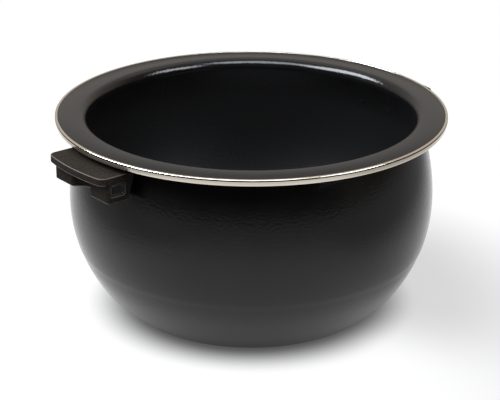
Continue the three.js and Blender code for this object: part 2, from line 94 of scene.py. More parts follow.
# %% [markdown]
# Every finish here is a surface with a grain: sprayed coating, spark-eroded plastic, turned or
# plated metal. A Principled shader holds the plain numbers. Noise on Object coordinates, which are
# the part's own metres, moves the colour and the roughness a little and drives a bump.

# %% A material with a grain
FINE_FACTOR, FINE_SHARE = 3, 0.3  # a finer noise, that much denser, makes up this share of the grain
TONE_RANGE, BLOTCH_RANGE = (0.36, 0.64), (0.3, 0.7)  # nearly all of the noise lies between these


def surface(name, dark, light, roughness, grain_mm, bump_mm, metallic=0.0, ior=None, level=0.5,
            blotch_mm=18, grain_share=0.35, rings=False, marked=None):
    """A Principled material whose grain has a real size. Roughness is a low and a high value, and
    marked is the colour and roughness of marked faces."""
    material = bpy.data.materials.new(name)
    material.use_nodes = True
    tree = material.node_tree
    shader = tree.nodes["Principled BSDF"]
    shader.inputs["Metallic"].default_value = metallic
    shader.inputs["Specular IOR Level"].default_value = level
    if ior:
        shader.inputs["IOR"].default_value = ior
    place = add_node(tree, "ShaderNodeTexCoord").outputs["Object"]
    if rings:
        # Turned metal: the pattern reads only radius and height, so it runs round the axis.
        split = add_node(tree, "ShaderNodeSeparateXYZ", links={0: place}).outputs
        flat = add_node(tree, "ShaderNodeCombineXYZ", links={0: split["X"], 1: split["Y"]})
        radius = add_node(tree, "ShaderNodeVectorMath", links={0: flat}, operation="LENGTH")
        place = add_node(tree, "ShaderNodeCombineXYZ",
                         links={0: radius.outputs["Value"], 1: split["Z"]})

    def noise(per_metre, detail):
        return add_node(tree, "ShaderNodeTexNoise", {"Scale": per_metre, "Detail": detail},
                        {"Vector": place})

    def mixed(share, first, second):
        return add_node(tree, "ShaderNodeMix", {0: share}, {2: first, 3: second})

    coarse, fine = noise(1 / (grain_mm * MM), 2.0), noise(FINE_FACTOR / (grain_mm * MM), 1.0)
    blotch = noise(1 / (blotch_mm * MM), 2.0)
    height = mixed(FINE_SHARE, coarse, fine)
    tone = add_node(tree, "ShaderNodeMapRange", dict(enumerate(TONE_RANGE, 1)),
                    {0: mixed(grain_share, blotch, height)})
    colour = add_node(tree, "ShaderNodeMix", {6: linear(dark), 7: linear(light)}, {0: tone},
                      data_type="RGBA").outputs[2]
    rough = add_node(tree, "ShaderNodeMapRange", dict(enumerate((*BLOTCH_RANGE, *roughness), 1)),
                     {0: blotch})
    if marked:
        on_mark = add_node(tree, "ShaderNodeAttribute", attribute_name="marked").outputs["Fac"]
        colour = add_node(tree, "ShaderNodeMix", {7: linear(marked[0])}, {0: on_mark, 6: colour},
                          data_type="RGBA").outputs[2]
        rough = add_node(tree, "ShaderNodeMix", {3: marked[1]}, {0: on_mark, 2: rough})
    bump = add_node(tree, "ShaderNodeBump", {"Strength": 1.0, "Distance": bump_mm * MM},
                    {"Height": height})
    for socket, source in (("Base Color", colour), ("Roughness", rough), ("Normal", bump)):
        link(tree, source, shader.inputs[socket])
    print("Finish:", name, "with a grain of", grain_mm, "mm")
    return material


def mark(mesh, share):
    """Stores how much of its material's marked finish each face gets, from 0 to 1."""
    marks = mesh.attributes.new("marked", "FLOAT", "FACE")
    marks.data.foreach_set("value", [share(face) for face in mesh.polygons])


# %% [markdown]
# All that is seen of the cast aluminium bowl is its coating: a fluoropolymer lacquer, sprayed and
# baked, with an index of refraction near 1.4. It is nearly black, smooth enough to mirror a bright
# table softly, and has an orange peel with lumps of about 2 mm. Its marked faces are the inside,
# which spoons and washing have dulled.

# %% The non-stick coating
coating = surface("sprayed_nonstick_coating", "#080808", "#0b0b0b", (0.1, 0.14), 1.8, 0.15,
                  ior=1.4, marked=("#0b0b0b", 0.38))

# %% [markdown]
# The ring round the rim is stainless steel, turned on a lathe. A metal's colour is the colour of
# its reflection: pale and slightly warm. Turning marks are finer than a pixel, and are drawn coarse,
# 0.5 mm apart. Its marked faces are a groove, painted near black as painted shading.

# %% The bright ring's steel
# The marked colour, near black, is painted shading in the ring's groove.
turned_steel = surface("turned_stainless_steel", "#dbd2c3", "#f0e8da", (0.16, 0.24), 0.5, 0.004,
                       metallic=1.0, rings=True, marked=("#0d0b09", 0.7))

# %% [markdown]
# The grips are glass-filled polyamide. Their cover has the grain of a spark-eroded mould, which
# makes black plastic look brownish grey. It is finer than a pixel, and is drawn coarse, at 1.2 mm.
# The block behind is plainer and darker, and the buttons are smoother, because a mould's small
# inserts are polished. Their marked faces are rounded edges with a painted highlight.

# %% The grips' plastics
# Each plastic's marked colour, lighter than its own, is a painted highlight on its rounded edges.
cover_plastic = surface("grained_polyamide_cover", "#090705", "#1f1a15", (0.6, 0.75), 1.2, 0.3,
                        ior=1.53, level=0.06, grain_share=0.88, marked=("#5c5752", 0.3))
core_plastic = surface("plain_polyamide_core", "#040403", "#060505", (0.6, 0.7), 0.9, 0.04,
                       ior=1.53, level=0.2, marked=("#0d0c0b", 0.45))
button_plastic = surface("satin_polyamide_button", "#020202", "#060505", (0.36, 0.44), 0.7, 0.02,
                         ior=1.53, level=0.2, marked=("#302d2b", 0.3))

# %% [markdown]
# Screws, springs and the plates under the grips are zinc-plated steel: bluish white, duller than
# the ring, with the cloudy crystals of plating, about 4 mm across.

# %% The zinc plating
zinc = surface("zinc_plated_steel", "#9fa3a8", "#c4c8cc", (0.30, 0.45), 1.2, 0.004, metallic=1.0,
               blotch_mm=4)

# %% [markdown]
# A bowl, its ring and screws are turned forms: one profile carried round an axis. One tree serves
# them all. It makes a curve of the profile's edges, carries it round a tiny circle on the axis, and
# merges the points that meet at the poles.

# %% A Geometry Nodes tree that turns a profile
MERGE = 0.002  # points nearer than this, in millimetres, become one


def new_tree(name, inputs):
    """A geometry tree with named inputs and a material, and its input node's outputs."""
    tree = bpy.data.node_groups.new(name, "GeometryNodeTree")
    tree.interface.new_socket("Geometry", in_out="INPUT", socket_type="NodeSocketGeometry")
    for title, kind in {**inputs, "Material": "Material"}.items():
        tree.interface.new_socket(title, in_out="INPUT", socket_type=f"NodeSocket{kind}")
    tree.interface.new_socket("Geometry", in_out="OUTPUT", socket_type="NodeSocketGeometry")
    return tree, add_node(tree, "NodeGroupInput").outputs


def end_tree(tree, geometry, material):
    """Every tree ends the same way: real mesh, with its material, into the output."""
    real = add_node(tree, "GeometryNodeRealizeInstances", links={"Geometry": geometry})
    painted = add_node(tree, "GeometryNodeSetMaterial",
                       links={"Geometry": real, "Material": material})
    add_node(tree, "NodeGroupOutput", links={0: painted})
    print("Tree", tree.name, "has", len(tree.nodes), "nodes")


lathe, lathe_in = new_tree("lathe", {"Segments": "Int", "Axis Radius": "Float"})
profile_curve = add_node(lathe, "GeometryNodeMeshToCurve", links={"Mesh": lathe_in["Geometry"]})
circle = add_node(lathe, "GeometryNodeCurvePrimitiveCircle",
                  links={"Resolution": lathe_in["Segments"], "Radius": lathe_in["Axis Radius"]})
swept = add_node(lathe, "GeometryNodeCurveToMesh",
                 links={"Curve": circle, "Profile Curve": profile_curve})
joined = add_node(lathe, "GeometryNodeMergeByDistance", {"Distance": MERGE * MM},
                  {"Geometry": swept})
end_tree(lathe, joined, lathe_in["Material"])

# %% [markdown]
# A tree's result is kept as a plain mesh, and its source is thrown away. Its faces are turned
# outwards, and edges of more than 30 degrees stay sharp, so that walls look round and edges cut.

# %% Keeping a tree's result
AXIS_RADIUS = 1.0  # of the circle that the lathe tree follows, in millimetres


def kept_sharp(mesh, turn=30):
    """Smooth shading, apart from edges that turn by more than that many degrees."""
    mesh.shade_smooth()
    mesh.set_sharp_from_angle(angle=radians(turn))
    return mesh


def outward(mesh, turn=30):
    """Faces point outwards, and only real edges stay sharp."""
    work = bmesh.new()
    work.from_mesh(mesh)
    bmesh.ops.recalc_face_normals(work, faces=work.faces)
    if work.calc_volume(signed=True) < 0:
        bmesh.ops.reverse_faces(work, faces=work.faces)
    work.to_mesh(mesh)
    work.free()
    return kept_sharp(mesh, turn)


def show(name, data):
    """A new object in the scene, with this mesh, light or camera."""
    thing = bpy.data.objects.new(name, data)
    bpy.context.scene.collection.objects.link(thing)
    return thing


def corners(node):
    """The low and the high corner of a CAD node's box, in millimetres."""
    return [Vector(corner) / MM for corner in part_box(node)]


def evaluated_copy(thing):
    """The thing's mesh with its modifiers applied. The thing itself goes."""
    graph = bpy.context.evaluated_depsgraph_get()
    mesh = bpy.data.meshes.new_from_object(thing.evaluated_get(graph), depsgraph=graph)
    bpy.data.objects.remove(thing)
    return mesh


def grown(name, mesh, tree, inputs):
    """Runs a tree on a mesh and returns the plain mesh that it makes."""
    source = show(name, mesh)
    modifier = source.modifiers.new("grow", "NODES")
    modifier.node_group = tree
    for item in tree.interface.items_tree:
        if item.item_type == "SOCKET" and item.in_out == "INPUT" and item.name in inputs:
            modifier[item.identifier] = inputs[item.name]
    return evaluated_copy(source)


def turned(name, points, closed, segments, material):
    """A profile of (radius, height) points in millimetres, turned about Z by the lathe tree. The
    tree's circle carries the profile's Y downwards, so heights change sign."""
    mesh = bpy.data.meshes.new("profile")
    edges = [(i, i + 1) for i in range(len(points) - 1)] + closed * [(len(points) - 1, 0)]
    mesh.from_pydata([((r - AXIS_RADIUS) * MM, -z * MM, 0) for r, z in points], edges, [])
    return outward(grown(name, mesh, lathe, {"Segments": segments, "Material": material,
                                             "Axis Radius": AXIS_RADIUS * MM}))


# %% [markdown]
# The bowl's wall is a row of arcs, each tangent to the next: base corner, lower side, belly,
# shoulder, and the bend into the rim. These are the CAD's own sizes with many more points. Only a
# faint step of the coating below the belly is added, about a fifth of a millimetre deep.

# %% The bowl's profile
HEIGHT, WALL = 135.0, 3.2
BASE_RADIUS, BASE_CORNER = 73.6, 21.2
LOWER_RADIUS, SIDE_RADIUS, SHOULDER_RADIUS = 72.2, 98.9, 138.0
BASE_ANGLE, LOWER_ANGLE, SIDE_ANGLE = 35.3, 57.6, 90.0
FILLET, FLANGE_WIDTH = 2.3, 15.4
RING_THICKNESS, RING_HEIGHT = 1.5, 3.9
FIT = 0.3  # between pieces that touch on the real object
STEP_HEIGHT, STEP_DEPTH, STEP_REACH = 44.8, 0.22, 3.0  # the coating's step, and how long it slopes
STEP_FADE = 6.0  # height above the base over which the step's depth comes in
ARC_STEP = 1.6  # length of the wall's facets
OUTER_BEND_STEPS, INNER_BEND_STEPS = 8, 14
RIM_CUT, RIM_ROUND = 0.3, 0.35  # the rim's edge below and above
ROUND_MIDDLE = (0.12, 0.1)  # a rounding's middle point, inwards and downwards from its corner


def arc(centre, radius, start, stop, count):
    """Points of an arc, angles in degrees."""
    angles = [radians(start + (stop - start) * i / count) for i in range(count + 1)]
    return [(centre[0] + radius * cos(a), centre[1] + radius * sin(a)) for a in angles]


def next_arc(before, radius, to):
    """The arc that goes on from another: centre radius, centre height, radius, from and to."""
    slope = radians(before[4])
    shift = before[2] - radius
    return (before[0] + shift * sin(slope), before[1] - shift * cos(slope), radius,
            before[4], to)


corner_arc = (BASE_RADIUS, BASE_CORNER, BASE_CORNER, 0.0, BASE_ANGLE)
lower_arc = next_arc(corner_arc, LOWER_RADIUS, LOWER_ANGLE)
side_arc = next_arc(lower_arc, SIDE_RADIUS, SIDE_ANGLE)
BELLY_HEIGHT = side_arc[1]
FILLET_HEIGHT = HEIGHT - WALL - FILLET
NECK_ANGLE = degrees(asin((FILLET_HEIGHT - BELLY_HEIGHT) / (SHOULDER_RADIUS + FILLET)))
shoulder_arc = next_arc(side_arc, SHOULDER_RADIUS, SIDE_ANGLE + NECK_ANGLE)
FILLET_RADIUS = shoulder_arc[0] + (SHOULDER_RADIUS + FILLET) * cos(radians(NECK_ANGLE))
RIM_RADIUS = FILLET_RADIUS + FLANGE_WIDTH
RIM_EDGE = RIM_RADIUS - RING_THICKNESS - FIT


def wall_points(inset, step):
    """The wall from the base to the neck, moved inwards by inset, with the coating's step or not."""
    points = []
    for centre_r, centre_z, radius, start, stop in (corner_arc, lower_arc, side_arc, shoulder_arc):
        count = round(radius * radians(stop - start) / ARC_STEP)
        for i in range(1 if points else 0, count + 1):
            slope = radians(start + (stop - start) * i / count)
            level = centre_z - radius * cos(slope)
            reach = radius - inset
            if step and level < STEP_HEIGHT + STEP_REACH:
                share = min(1.0, (STEP_HEIGHT + STEP_REACH - level) / STEP_REACH)
                reach -= STEP_DEPTH * share ** 2 * min(1.0, level / STEP_FADE)
            points.append((centre_r + reach * sin(slope), centre_z - reach * cos(slope)))
    return points


def bend_points(radius, count):
    """The bend from the neck into the rim, about the fillet's centre."""
    return arc((FILLET_RADIUS, FILLET_HEIGHT), radius, 180 + NECK_ANGLE, 90, count)[1:]


outer = [(0.0, 0.0)] + wall_points(0.0, True) + bend_points(FILLET, OUTER_BEND_STEPS)
rim = [(RIM_EDGE - RIM_CUT, HEIGHT - WALL), (RIM_EDGE, HEIGHT - WALL + RIM_CUT),
       (RIM_EDGE, HEIGHT - RIM_ROUND), (RIM_EDGE - ROUND_MIDDLE[0], HEIGHT - ROUND_MIDDLE[1]),
       (RIM_EDGE - RIM_ROUND, HEIGHT)]
inner = [(0.0, WALL)] + wall_points(WALL, False) + bend_points(FILLET + WALL, INNER_BEND_STEPS)
bowl_profile = outer + rim + inner[::-1]
print("Profile of", len(bowl_profile), "points, rim radius", round(RIM_RADIUS, 2), "mm")

# %% [markdown]
# Other pieces are blocks and bars, joined or cut away. A block is an outline carried along an axis,
# and a loft has an outline that changes on the way. Exact booleans keep the result one closed shell.

# %% Blocks, bars and carving
AXIS_ORDER = {"Z": (0, 1, 2), "Y": (0, 2, 1), "X": (2, 0, 1)}


def as_mesh(work, name):
    """What was worked on, as a new mesh."""
    mesh = bpy.data.meshes.new(name)
    work.to_mesh(mesh)
    work.free()
    return mesh


def lofted(rings, axis):
    """A closed form through outlines of pairs, each at its own level of an axis, in millimetres."""
    work = bmesh.new()
    rows = [[work.verts.new([(a, b, level)[i] * MM for i in AXIS_ORDER[axis]]) for a, b in outline]
            for outline, level in rings]
    work.faces.new(rows[0])
    work.faces.new(rows[-1][::-1])
    for near, far in zip(rows, rows[1:]):
        for i in range(len(near)):
            j = (i + 1) % len(near)
            work.faces.new([near[j], near[i], far[i], far[j]])
    bmesh.ops.recalc_face_normals(work, faces=work.faces)
    return as_mesh(work, "block")


def prism(outline, low, high, axis="Z"):
    """A closed block: one outline, carried from low to high."""
    return lofted([(outline, low), (outline, high)], axis)


def box(low, high):
    """A block from one corner to the opposite one."""
    outline = [(low[0], low[1]), (high[0], low[1]), (high[0], high[1]), (low[0], high[1])]
    return prism(outline, low[2], high[2])


def disc(centre, radius, count=48):
    """The outline of a round bar."""
    return arc(centre, radius, 0, 360, count)[:-1]


def carve(mesh, steps):
    """Applies exact booleans in order. Steps are pairs: an operation and its list of meshes."""
    thing = show("carving", mesh)
    tools = []
    for operation, meshes in steps:
        work = bmesh.new()
        for part in meshes:
            work.from_mesh(part)
        tools.append(show("tool", as_mesh(work, "tool")))
        modifier = thing.modifiers.new("carve", "BOOLEAN")
        modifier.operation = operation
        modifier.solver = "EXACT"
        modifier.object = tools[-1]
    result = evaluated_copy(thing)
    for tool in tools:
        bpy.data.objects.remove(tool)
    return result


plate_low, plate_high = corners("right_anchor_plate")
SCREW_LEVEL = (plate_low.z + plate_high.z) / 2
SCREW_Y = plate_high.y - 9
print("Screws at y", round(SCREW_Y, 1), "mm and height", round(SCREW_LEVEL, 1), "mm")

# %% [markdown]
# Four bosses are cast on the neck, two for each grip, with a hole for a screw in each. They are
# joined to the turned wall, so the bowl stays one shell. Its inner faces are marked as matt, and
# the mark fades out below the bend, because the flange above shines like the outside.

# %% Make the bowl
BOWL_SEGMENTS = 256
BOSS_RADIUS, BOSS_SINK, SCREW_RADIUS = 4.0, 2.6, 1.5  # the sink is how far a boss goes into the wall
HOLE_PAST, HOLE_SEGMENTS = 1.0, 32
INSIDE_FADE = 25.0  # millimetres below the bend over which the inside's finish turns matt
LOOKS_IN, LOOKS_UP = 0.02, 0.9  # least cosine of an inner wall's face, and of the floor's
bosses, holes = [], []
screw_low = corners("right_anchor_screw_back")[0]
neck_radius = shoulder_arc[0] + sqrt(SHOULDER_RADIUS ** 2 - (SCREW_LEVEL - BELLY_HEIGHT) ** 2)
for side in (1, -1):
    for y in (SCREW_Y, -SCREW_Y):
        inside = sqrt(neck_radius ** 2 - y ** 2) - BOSS_SINK
        span = sorted((side * inside, side * (plate_low.x - FIT)))
        bosses.append(prism(disc((y, SCREW_LEVEL), BOSS_RADIUS), *span, axis="X"))
        span = sorted((side * (screw_low.x - FIT), side * (plate_low.x + HOLE_PAST)))
        holes.append(prism(disc((y, SCREW_LEVEL), SCREW_RADIUS + FIT, HOLE_SEGMENTS), *span, axis="X"))
shell = turned("bowl_turned", bowl_profile, False, BOWL_SEGMENTS, coating)
shell = outward(carve(shell, [("UNION", bosses), ("DIFFERENCE", holes)]))


def inside_share(face):
    """1 on the inside's faces, fading out below the bend, and 0 on all others."""
    centre = face.center / MM
    inward = -(face.normal.x * centre.x + face.normal.y * centre.y) / centre.xy.length
    on_floor = face.normal.z > LOOKS_UP and centre.z < 2 * WALL
    if inward < LOOKS_IN and not on_floor:
        return 0.0
    return min(1.0, max(0.0, (FILLET_HEIGHT - centre.z) / INSIDE_FADE))


mark(shell, inside_share)
bowl = show("bowl_shell_coated", shell)
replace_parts(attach(bowl, "bowl"), "bowl_shell")
print("Bowl:", len(shell.polygons), "faces")

# %% [markdown]
# The ring is a thin band pressed on the rim's edge. Its upper edge is a round bead that catches the
# light from above, and a fine groove parts the bead from the side below. The side leans inwards a
# little towards its foot, as a turned band does, so it mirrors the table.

# %% Make the ring
RING_SEGMENTS = 320
BEAD, BEAD_INSET, BEAD_STEPS = 0.45, 0.02, 7
GROOVE, GROOVE_DEPTH, GROOVE_SLOPE = 0.7, 0.4, 0.05
SIDE_TOP, SIDE_FOOT, SIDE_STEPS = -1, -8, 6  # degrees that the side leans, at its top and its foot
BORE_CLEAR, BORE_CUT, TOP_CUT = 0.1, 0.15, 0.1
ring_low, bore = HEIGHT - RING_HEIGHT, RIM_EDGE + BORE_CLEAR
groove_high, groove_low, side_low = HEIGHT - BEAD, HEIGHT - BEAD - GROOVE, ring_low + RIM_ROUND
foot_sine = sin(radians(SIDE_FOOT))
bulge = (groove_low - side_low) / (sin(radians(SIDE_TOP)) - foot_sine)
ring_side = arc((RIM_RADIUS - bulge, side_low - bulge * foot_sine), bulge, SIDE_FOOT, SIDE_TOP,
                SIDE_STEPS)
foot = ring_side[0][0]
ring_profile = (
    [(bore, ring_low + BORE_CUT), (bore + BORE_CUT, ring_low), (foot - RIM_ROUND, ring_low),
     (foot - ROUND_MIDDLE[0], ring_low + ROUND_MIDDLE[1])] + ring_side
    + [(RIM_RADIUS - GROOVE_DEPTH, groove_low + GROOVE_SLOPE),
       (RIM_RADIUS - GROOVE_DEPTH, groove_high - GROOVE_SLOPE)]
    + arc((RIM_RADIUS - BEAD - BEAD_INSET, groove_high), BEAD, 0, 90, BEAD_STEPS)
    + [(bore + TOP_CUT, HEIGHT), (bore, HEIGHT - TOP_CUT)])
ring = show("rim_ring_turned", turned("ring_turned", ring_profile, True, RING_SEGMENTS, turned_steel))
# The groove's faces are marked, which paints shading into the groove.
mark(ring.data, lambda face: float(groove_low * MM < face.center.z < groove_high * MM
                                   and face.center.xy.length > (bore + TOP_CUT) * MM))
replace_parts(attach(ring, "bowl"), "rim_ring")
print("Ring:", len(ring.data.polygons), "faces")

# %% [markdown]
# Moulded plastic has no sharp edges, and its small radii catch the light. So each piece of a grip is
# carved sharp first, and then its outer edges are rounded. Flat faces are merged before that,
# because a bevel goes wrong on the slivers that carving leaves. The rounded faces are marked, and
# their marked colour paints a highlight along the edges.

# %% Rounding edges
LEAST_DEGREES, FLAT_DEGREES = 35, 0.2  # flatter edges aren't rounded, and the flattest go


def rounded(mesh, width_mm, chosen=None, segments=3, clamp=False):
    """Rounds the sharp convex edges, by the share of the width that chosen gives each. Clamping
    keeps the whole rounding as narrow as the shortest edge beside it allows."""
    work = bmesh.new()
    work.from_mesh(mesh)
    bmesh.ops.remove_doubles(work, verts=work.verts, dist=MERGE * MM)
    bmesh.ops.dissolve_limit(work, angle_limit=radians(FLAT_DEGREES), verts=work.verts,
                             edges=work.edges)
    weight = work.edges.layers.float.new("bevel_weight_edge")
    sharp = [line for line in work.edges if len(line.link_faces) == 2 and line.is_convex
             and degrees(line.calc_face_angle(0)) >= LEAST_DEGREES]
    for line in sharp:
        line[weight] = chosen(*(v.co / MM for v in line.verts)) if chosen else 1.0
    work.to_mesh(mesh)
    work.free()
    mesh.materials.clear()
    for part in ("flat", "round"):  # stand-ins, by whose number finished() knows the new faces
        mesh.materials.append(bpy.data.materials.get(part) or bpy.data.materials.new(part))
    mesh.polygons.foreach_set("material_index", [0] * len(mesh.polygons))
    thing = show("rounding", mesh)
    modifier = thing.modifiers.new("round", "BEVEL")
    modifier.material = 1
    modifier.limit_method = "WEIGHT"
    modifier.width = width_mm * MM
    modifier.segments = segments
    modifier.use_clamp_overlap = clamp
    print("  edges sharp enough to round:", len(sharp))
    return evaluated_copy(thing)


def finished(mesh, material, highlight_share=None):
    """Outward faces, sharp edges, one material, and normals that keep flat faces flat. Rounded
    faces get a painted highlight, by 1 or by the share that highlight_share gives for their place."""
    outward(mesh)
    mark(mesh, lambda face: face.material_index * (highlight_share(face.center / MM) if highlight_share else 1.0))
    mesh.materials.clear()
    mesh.materials.append(material)
    mesh.polygons.foreach_set("material_index", [0] * len(mesh.polygons))
    thing = show("weighting", mesh)
    thing.modifiers.new("weigh", "WEIGHTED_NORMAL").keep_sharp = True
    return evaluated_copy(thing)


# %% [markdown]
# The grip's cover is a flat plate with rounded outer corners, over a hollow block. The plate's
# outer edge is an arc about the bowl's axis, and stands out past the block, so that a thumb lies on
# top and a finger in the scoop below. The right grip, at +X, is made and turned for the left one.

# %% The cover's sizes
cover_low, cover_high = corners("right_grip_cover")
core_high = corners("right_grip_core")[1]
GRIP_TOP, GRIP_BOTTOM, HALF = cover_high.z, cover_low.z, cover_high.y
PLATE = 4.7
PLATE_UNDER = GRIP_TOP - PLATE
PLATE_EDGE, PLATE_CORNER = cover_high.x, 5.0
COVER_BACK, COVER_WALL = cover_low.x, 2.2
INSIDE_FRONT = core_high.x + FIT
FRONT = INSIDE_FRONT + COVER_WALL
BLOCK_CORNER, BLOCK_LENGTH = 2.0, 20.3
END_INSIDE = HALF - COVER_WALL
SCOOP_HALF = HALF - BLOCK_LENGTH
SCOOP_DEPTH_SHARE, SCOOP_LIP = 0.78, 3.2
SCOOP_DEPTH = SCOOP_HALF * SCOOP_DEPTH_SHARE
SCOOP_RADIUS = (SCOOP_HALF ** 2 + SCOOP_DEPTH ** 2) / (2 * SCOOP_DEPTH)
SCOOP_X = FRONT + SCOOP_RADIUS - SCOOP_DEPTH
WINDOW, WINDOW_DROP = (10.0, 7.6, 1.5), 0.7  # width, height, corner radius, and below the plate
WINDOW_FRONT = INSIDE_FRONT - FIT
WINDOW_Z = PLATE_UNDER - WINDOW_DROP - WINDOW[1] / 2
NOTCH_Y, NOTCH_DEPTH = 21.5, 2.0
HEAD_RADIUS = 2.7
COVER_SCREW = corners("right_cover_screw_back")[0] + Vector((HEAD_RADIUS, HEAD_RADIUS, 0))
HOLE_RADIUS, HOLE_DEPTH, HOLE_SIDES = 1.7, 3.4, 24
PAST = 1.0  # how far a cut runs past what it cuts
ARC_STEPS, CORNER_STEPS, EDGE_STEPS, SCOOP_STEPS = 8, 12, 30, 40
print("Front wall at", round(FRONT, 2), "mm, scoop radius", round(SCOOP_RADIUS, 2), "mm")

# %% [markdown]
# The cover starts as its plate's outline at full height. Cut away are what lies before the block,
# the room for the inner parts, a window in each end, a notch at the bowl's neck and two screw
# holes. Where the scoop runs out at the front, its lips are rounded outwards.

# %% Make the cover
def slot_outline(low, high, corner):
    """A rectangle with four round corners."""
    points = []
    for centre, start in (((high[0] - corner, low[1] + corner), -90),
                          ((high[0] - corner, high[1] - corner), 0),
                          ((low[0] + corner, high[1] - corner), 90),
                          ((low[0] + corner, low[1] + corner), 180)):
        points += arc(centre, corner, start, start + 90, ARC_STEPS)
    return points


def scoop_arc(radius, front, lip=0.0):
    """The scoop's arc, or its wall's, as far as a plane in front, with rounded lips or without."""
    half = degrees(acos((SCOOP_X - front + lip) / (radius + lip)))
    middle = (radius + lip) * sin(radians(half))
    hollow = arc((SCOOP_X, 0), radius, 180 + half, 180 - half, SCOOP_STEPS)
    if not lip:
        return hollow
    return (arc((front - lip, -middle), lip, 0, half, ARC_STEPS)[:-1] + hollow
            + arc((front - lip, middle), lip, -half, 0, ARC_STEPS)[1:])


corner_y = HALF - PLATE_CORNER
corner_x = sqrt((PLATE_EDGE - PLATE_CORNER) ** 2 - corner_y ** 2)
lean = degrees(atan2(corner_y, corner_x))
plate_outline = (
    [(COVER_BACK, -HALF)]
    + arc((corner_x, -corner_y), PLATE_CORNER, -90, -lean, CORNER_STEPS)
    + arc((0, 0), PLATE_EDGE, -lean, lean, EDGE_STEPS)[1:-1]
    + arc((corner_x, corner_y), PLATE_CORNER, lean, 90, CORNER_STEPS) + [(COVER_BACK, HALF)])
side_x, corner_centre = FRONT - BLOCK_CORNER, HALF - BLOCK_CORNER
before_block = prism(
    [(side_x, -HALF - PAST)] + arc((side_x, -corner_centre), BLOCK_CORNER, -90, 0, ARC_STEPS)
    + scoop_arc(SCOOP_RADIUS, FRONT, SCOOP_LIP)
    + arc((side_x, corner_centre), BLOCK_CORNER, 0, 90, ARC_STEPS)
    + [(side_x, HALF + PAST), (PLATE_EDGE + PAST, HALF + PAST), (PLATE_EDGE + PAST, -HALF - PAST)],
    GRIP_BOTTOM - PAST, PLATE_UNDER)
room = prism(
    [(COVER_BACK - PAST, -END_INSIDE), (INSIDE_FRONT, -END_INSIDE)]
    + scoop_arc(SCOOP_RADIUS + COVER_WALL, INSIDE_FRONT)
    + [(INSIDE_FRONT, END_INSIDE), (COVER_BACK - PAST, END_INSIDE)], GRIP_BOTTOM - 2 * PAST,
    PLATE_UNDER)
window_outline = slot_outline((WINDOW_FRONT - WINDOW[0], WINDOW_Z - WINDOW[1] / 2),
                              (WINDOW_FRONT, WINDOW_Z + WINDOW[1] / 2), WINDOW[2])
windows = [prism(window_outline, *sorted((side * (END_INSIDE - PAST), side * (HALF + PAST))), axis="Y")
           for side in (1, -1)]
notch = box((COVER_BACK - 2 * PAST, -NOTCH_Y, GRIP_BOTTOM - 3 * PAST),
            (COVER_BACK + NOTCH_DEPTH, NOTCH_Y, GRIP_TOP + PAST))
screw_holes = [prism(disc((COVER_SCREW.x, y), HOLE_RADIUS, HOLE_SIDES),
                     PLATE_UNDER - PAST, PLATE_UNDER + HOLE_DEPTH)
               for y in (COVER_SCREW.y, -COVER_SCREW.y)]
cover_mesh = carve(prism(plate_outline, GRIP_BOTTOM, GRIP_TOP), [
    ("DIFFERENCE", cut) for cut in ([before_block], [room], windows, [notch], screw_holes)])
print("Cover, carved:", len(cover_mesh.polygons), "faces")

# %% [markdown]
# Edges inside the cover stay sharp, apart from the scoop's lower one, which a finger meets. The
# finished mesh is placed for each grip: it is turned in the mesh itself, so that the object stays
# at the origin, and it rides on its body.

# %% Round the cover, paint highlights on its edges, and place it
COVER_ROUND = 0.45
NEAR, SAME = 0.1, 0.01  # millimetres by which an edge may miss the place that it is looked for at
HIGHLIGHT_BAND = 1.0  # height above the plate's underside with full painted highlight on edges
# Shares of the painted highlight at the cover's ends and on its upper edges
HIGHLIGHT_END, HIGHLIGHT_TOP = 0.35, 0.5


def cover_edge(a, b):
    """How much of the full rounding an edge of the cover gets."""
    middle = (a + b) / 2
    if min(a.z, b.z) > GRIP_TOP - SAME:
        return 1.0
    if abs(middle.y) < END_INSIDE + NEAR and middle.x < INSIDE_FRONT - NEAR:
        on_scoop = hypot(middle.x - SCOOP_X, middle.y) < SCOOP_RADIUS + COVER_WALL / 2
        return float(on_scoop and max(a.z, b.z) < GRIP_BOTTOM + NEAR)
    beside_block = min(abs(a.y), abs(b.y)) > HALF - NEAR / 2 and abs(middle.z - PLATE_UNDER) < SAME
    return float(not beside_block)


def cover_edge_highlight(place):
    """The share of painted highlight on the cover's rounded edges: full on its lower edges,
    less on top, least at its ends.
    """
    if abs(place.y) > HALF - COVER_ROUND - NEAR / 2:
        return HIGHLIGHT_END
    return 1.0 if place.z < PLATE_UNDER + HIGHLIGHT_BAND else HIGHLIGHT_TOP


HALF_TURN = Matrix.Rotation(pi, 4, "Z")
FLIP = (Matrix.Translation((0, 0, WINDOW_Z * MM)) @ Matrix.Rotation(pi, 4, "X")
        @ Matrix.Translation((0, 0, -WINDOW_Z * MM)))
GRIP_TURNS = {"right": Matrix.Identity(4), "left": HALF_TURN}


def placed(name, mesh, turn, body, node):
    """A copy of a mesh, turned into its place in the mesh itself, riding on its body."""
    own = mesh.copy()
    own.transform(turn)
    piece = show(name, own)
    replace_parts(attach(piece, body), node)
    return piece


cover_mesh = finished(rounded(cover_mesh, COVER_ROUND, cover_edge), cover_plastic, cover_edge_highlight)
for grip, turn in GRIP_TURNS.items():
    placed(f"{grip}_cover_moulded", cover_mesh, turn, "bowl", f"{grip}_grip_cover")
print("Cover:", len(cover_mesh.polygons), "faces")

# %% [markdown]
# The block behind the cover and the bent steel plate under it keep the CAD's shape. A copy is merged
# from loose triangles into flat faces, and its moulded or bent edges are slightly rounded.

